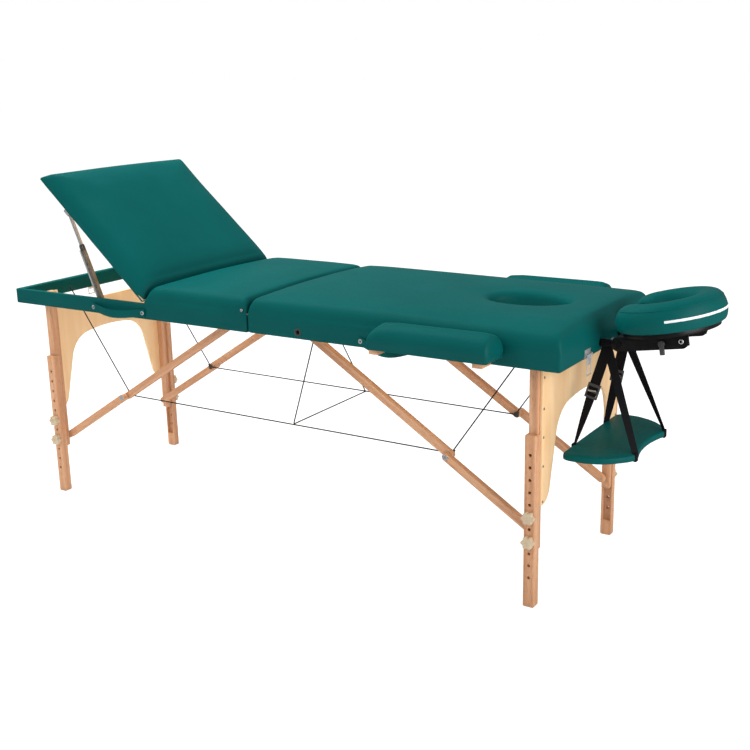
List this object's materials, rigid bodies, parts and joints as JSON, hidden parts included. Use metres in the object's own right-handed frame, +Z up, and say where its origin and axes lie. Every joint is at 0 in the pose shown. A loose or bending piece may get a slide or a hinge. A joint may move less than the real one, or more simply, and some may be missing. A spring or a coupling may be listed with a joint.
{
  "type": "folding facial bed",
  "caption": "Portable folding facial bed with a padded top, tilting backrest, face cradle, hanging arm shelf, side armrests and height-adjustable wooden legs.",
  "frame": {"origin": "on the floor under the middle of the bounding box", "axes": "+X towards the head end, +Y to the far side, +Z up"},
  "size_m": [2.1467, 0.8104, 1.0507],
  "materials": {
    "vinyl": "soft grained upholstery vinyl over foam, satin",
    "webbing": "woven strap",
    "beech": "clear lacquered beech",
    "plywood": "clear lacquered plywood",
    "knob_plastic": "moulded",
    "black_plastic": "moulded",
    "black_metal": "black powder coat",
    "wire": "coated stranded wire",
    "steel": "zinc plated"
  },
  "bodies": {
    "head_half": {"head_side_rails": "vinyl", "head_end_rail": "vinyl", "head_fold_rail": "beech", "head_deck": "plywood", "head_pad": "vinyl", "armrest_bushes": "black_plastic", "cradle_sockets": "steel", "head_carry_strap": "vinyl", "head_pivot_hardware": "black_metal", "head_hinge_leaves": "steel", "head_latch_plates": "steel", "head_leg_stays": "wire"},
    "fold_pins": {"hinge_pins": "steel", "main_stays": "wire", "centre_stay": "wire"},
    "seat_half": {"seat_side_rails": "vinyl", "foot_end_rail": "vinyl", "seat_fold_rail": "beech", "seat_deck": "plywood", "seat_pad": "vinyl", "seat_carry_strap": "vinyl", "seat_pivot_hardware": "black_metal", "seat_hinge_leaves": "steel", "backrest_hinge_leaves": "steel", "foot_latch_plates": "steel", "foot_leg_stays": "wire"},
    "backrest": {"backrest_deck": "plywood", "backrest_pad": "vinyl", "backrest_brackets": "steel"},
    "prop_tubes": {"prop_tubes": "steel"},
    "prop_rods": {"prop_rods": "steel"},
    "head_leg": {"head_leg_panel": "plywood", "head_leg_posts": "beech"},
    "foot_leg": {"foot_leg_panel": "plywood", "foot_leg_posts": "beech"},
    "head_near_extension": {"head_near_extension": "beech"},
    "head_far_extension": {"head_far_extension": "beech"},
    "foot_near_extension": {"foot_near_extension": "beech"},
    "foot_far_extension": {"foot_far_extension": "beech"},
    "head_near_knobs": {"head_near_knobs": "knob_plastic"},
    "head_far_knobs": {"head_far_knobs": "knob_plastic"},
    "foot_near_knobs": {"foot_near_knobs": "knob_plastic"},
    "foot_far_knobs": {"foot_far_knobs": "knob_plastic"},
    "head_upper_braces": {"head_upper_braces": "beech"},
    "head_lower_braces": {"head_lower_braces": "beech"},
    "foot_upper_braces": {"foot_upper_braces": "beech"},
    "foot_lower_braces": {"foot_lower_braces": "beech"},
    "cradle_frame": {"cradle_frame": "black_metal"},
    "cradle_arms": {"cradle_arms": "black_metal"},
    "cradle_platform": {"cradle_platform": "black_metal", "cradle_cushion": "vinyl"},
    "cradle_lever": {"cradle_lever": "black_plastic"},
    "sling": {"sling_straps": "webbing", "sling_shelf": "vinyl"},
    "near_armrest": {"near_armrest_frame": "beech", "near_armrest_pad": "vinyl"},
    "far_armrest": {"far_armrest_frame": "beech", "far_armrest_pad": "vinyl"},
    "head_latch": {"head_latch": "steel"},
    "foot_latch": {"foot_latch": "steel"}
  },
  "joints": [
    {"name": "fold_draw", "type": "hinge", "parent": "head_half", "child": "fold_pins", "pos_m": [-0.1398, 0, 0.627], "axis": [0, -1, 0], "range_deg": [0, 90], "deforming": ["main_stays", "centre_stay", "head_leg_stays", "foot_leg_stays"]},
    {"name": "fold_close", "type": "hinge", "parent": "fold_pins", "child": "seat_half", "pos_m": [-0.1398, 0, 0.627], "axis": [0, -1, 0], "range_deg": [0, 90]},
    {"name": "backrest_tilt", "type": "hinge", "parent": "seat_half", "child": "backrest", "pos_m": [-0.5248, 0, 0.6773], "axis": [0, 1, 0], "range_deg": [-42, 0]},
    {"name": "prop_swing", "type": "hinge", "parent": "seat_half", "child": "prop_tubes", "pos_m": [-0.7048, 0, 0.65], "axis": [0, 1, 0], "range_deg": [-63.87, 0.5]},
    {"name": "prop_slide", "type": "slide", "parent": "prop_tubes", "child": "prop_rods", "axis": [-0.385, 0, 0.9229], "range_m": [-0.09374, 0.001]},
    {"name": "head_leg_fold", "type": "hinge", "parent": "head_half", "child": "head_leg", "pos_m": [0.6952, 0, 0.6515], "axis": [0, 1, 0], "range_deg": [-0.5, 90.5]},
    {"name": "foot_leg_fold", "type": "hinge", "parent": "seat_half", "child": "foot_leg", "pos_m": [-0.9748, 0, 0.6515], "axis": [0, -1, 0], "range_deg": [-0.5, 90.5]},
    {"name": "head_upper_brace_fold", "type": "hinge", "parent": "head_half", "child": "head_upper_braces", "pos_m": [-0.0548, 0, 0.6515], "axis": [0, -1, 0], "range_deg": [-0.5, 33.53]},
    {"name": "head_lower_brace_fold", "type": "hinge", "parent": "head_leg", "child": "head_lower_braces", "pos_m": [0.6912, 0, 0.1815], "axis": [0, 1, 0], "range_deg": [-0.5, 57.47]},
    {"name": "foot_upper_brace_fold", "type": "hinge", "parent": "seat_half", "child": "foot_upper_braces", "pos_m": [-0.2248, 0, 0.6515], "axis": [0, 1, 0], "range_deg": [-0.5, 33.53]},
    {"name": "foot_lower_brace_fold", "type": "hinge", "parent": "foot_leg", "child": "foot_lower_braces", "pos_m": [-0.9708, 0, 0.1815], "axis": [0, -1, 0], "range_deg": [-0.5, 57.47]},
    {"name": "head_near_height", "type": "slide", "parent": "head_leg", "child": "head_near_extension", "axis": [0, 0, -1], "range_m": [-0.0975, 0.0975]},
    {"name": "head_near_knob_pull", "type": "slide", "parent": "head_leg", "child": "head_near_knobs", "axis": [0, 1, 0], "range_m": [-0.03, 0]},
    {"name": "head_far_height", "type": "slide", "parent": "head_leg", "child": "head_far_extension", "axis": [0, 0, -1], "range_m": [-0.0975, 0.0975]},
    {"name": "head_far_knob_pull", "type": "slide", "parent": "head_leg", "child": "head_far_knobs", "axis": [0, -1, 0], "range_m": [-0.03, 0]},
    {"name": "foot_near_height", "type": "slide", "parent": "foot_leg", "child": "foot_near_extension", "axis": [0, 0, -1], "range_m": [-0.0975, 0.0975]},
    {"name": "foot_near_knob_pull", "type": "slide", "parent": "foot_leg", "child": "foot_near_knobs", "axis": [0, 1, 0], "range_m": [-0.03, 0]},
    {"name": "foot_far_height", "type": "slide", "parent": "foot_leg", "child": "foot_far_extension", "axis": [0, 0, -1], "range_m": [-0.0975, 0.0975]},
    {"name": "foot_far_knob_pull", "type": "slide", "parent": "foot_leg", "child": "foot_far_knobs", "axis": [0, -1, 0], "range_m": [-0.03, 0]},
    {"name": "cradle_pull", "type": "slide", "parent": "head_half", "child": "cradle_frame", "axis": [1, 0, 0], "range_m": [0, 0.056]},
    {"name": "cradle_raise", "type": "hinge", "parent": "cradle_frame", "child": "cradle_arms", "pos_m": [0.8372, 0, 0.655], "axis": [0, -1, 0], "range_deg": [-12, 12]},
    {"name": "cradle_tilt", "type": "hinge", "parent": "cradle_arms", "child": "cradle_platform", "pos_m": [0.9932, 0, 0.68], "axis": [0, 1, 0], "range_deg": [0, 30]},
    {"name": "cradle_lever_turn", "type": "hinge", "parent": "cradle_arms", "child": "cradle_lever", "pos_m": [0.94629, -0.0764, 0.66944], "axis": [0, -1, 0], "range_deg": [0, 90]},
    {"name": "sling_swing", "type": "hinge", "parent": "cradle_frame", "child": "sling", "pos_m": [0.8052, 0, 0.652], "axis": [0, 1, 0], "range_deg": [-6, 4]},
    {"name": "near_armrest_pull", "type": "slide", "parent": "head_half", "child": "near_armrest", "axis": [0, -1, 0], "range_m": [0, 0.04]},
    {"name": "far_armrest_pull", "type": "slide", "parent": "head_half", "child": "far_armrest", "axis": [0, 1, 0], "range_m": [0, 0.04]},
    {"name": "head_latch_swing", "type": "hinge", "parent": "head_half", "child": "head_latch", "pos_m": [0.7912, -0.148, 0.64], "axis": [0, -1, 0], "range_deg": [0, 120]},
    {"name": "foot_latch_swing", "type": "hinge", "parent": "seat_half", "child": "foot_latch", "pos_m": [-1.0708, 0.015, 0.64], "axis": [0, 1, 0], "range_deg": [0, 120]}
  ],
  "couplings": [
    {"joint": "head_leg_fold", "follows": "fold_draw", "ratio": 1},
    {"joint": "foot_leg_fold", "follows": "fold_draw", "ratio": 1},
    {"joint": "head_upper_brace_fold", "follows": "fold_draw", "ratio": 0.36701},
    {"joint": "head_lower_brace_fold", "follows": "fold_draw", "ratio": 0.63299},
    {"joint": "foot_upper_brace_fold", "follows": "fold_draw", "ratio": 0.36701},
    {"joint": "foot_lower_brace_fold", "follows": "fold_draw", "ratio": 0.63299},
    {"joint": "prop_swing", "follows": "backrest_tilt", "ratio": 1.5088},
    {"joint": "prop_slide", "follows": "backrest_tilt", "m_per_rad": 0.12651}
  ]
}
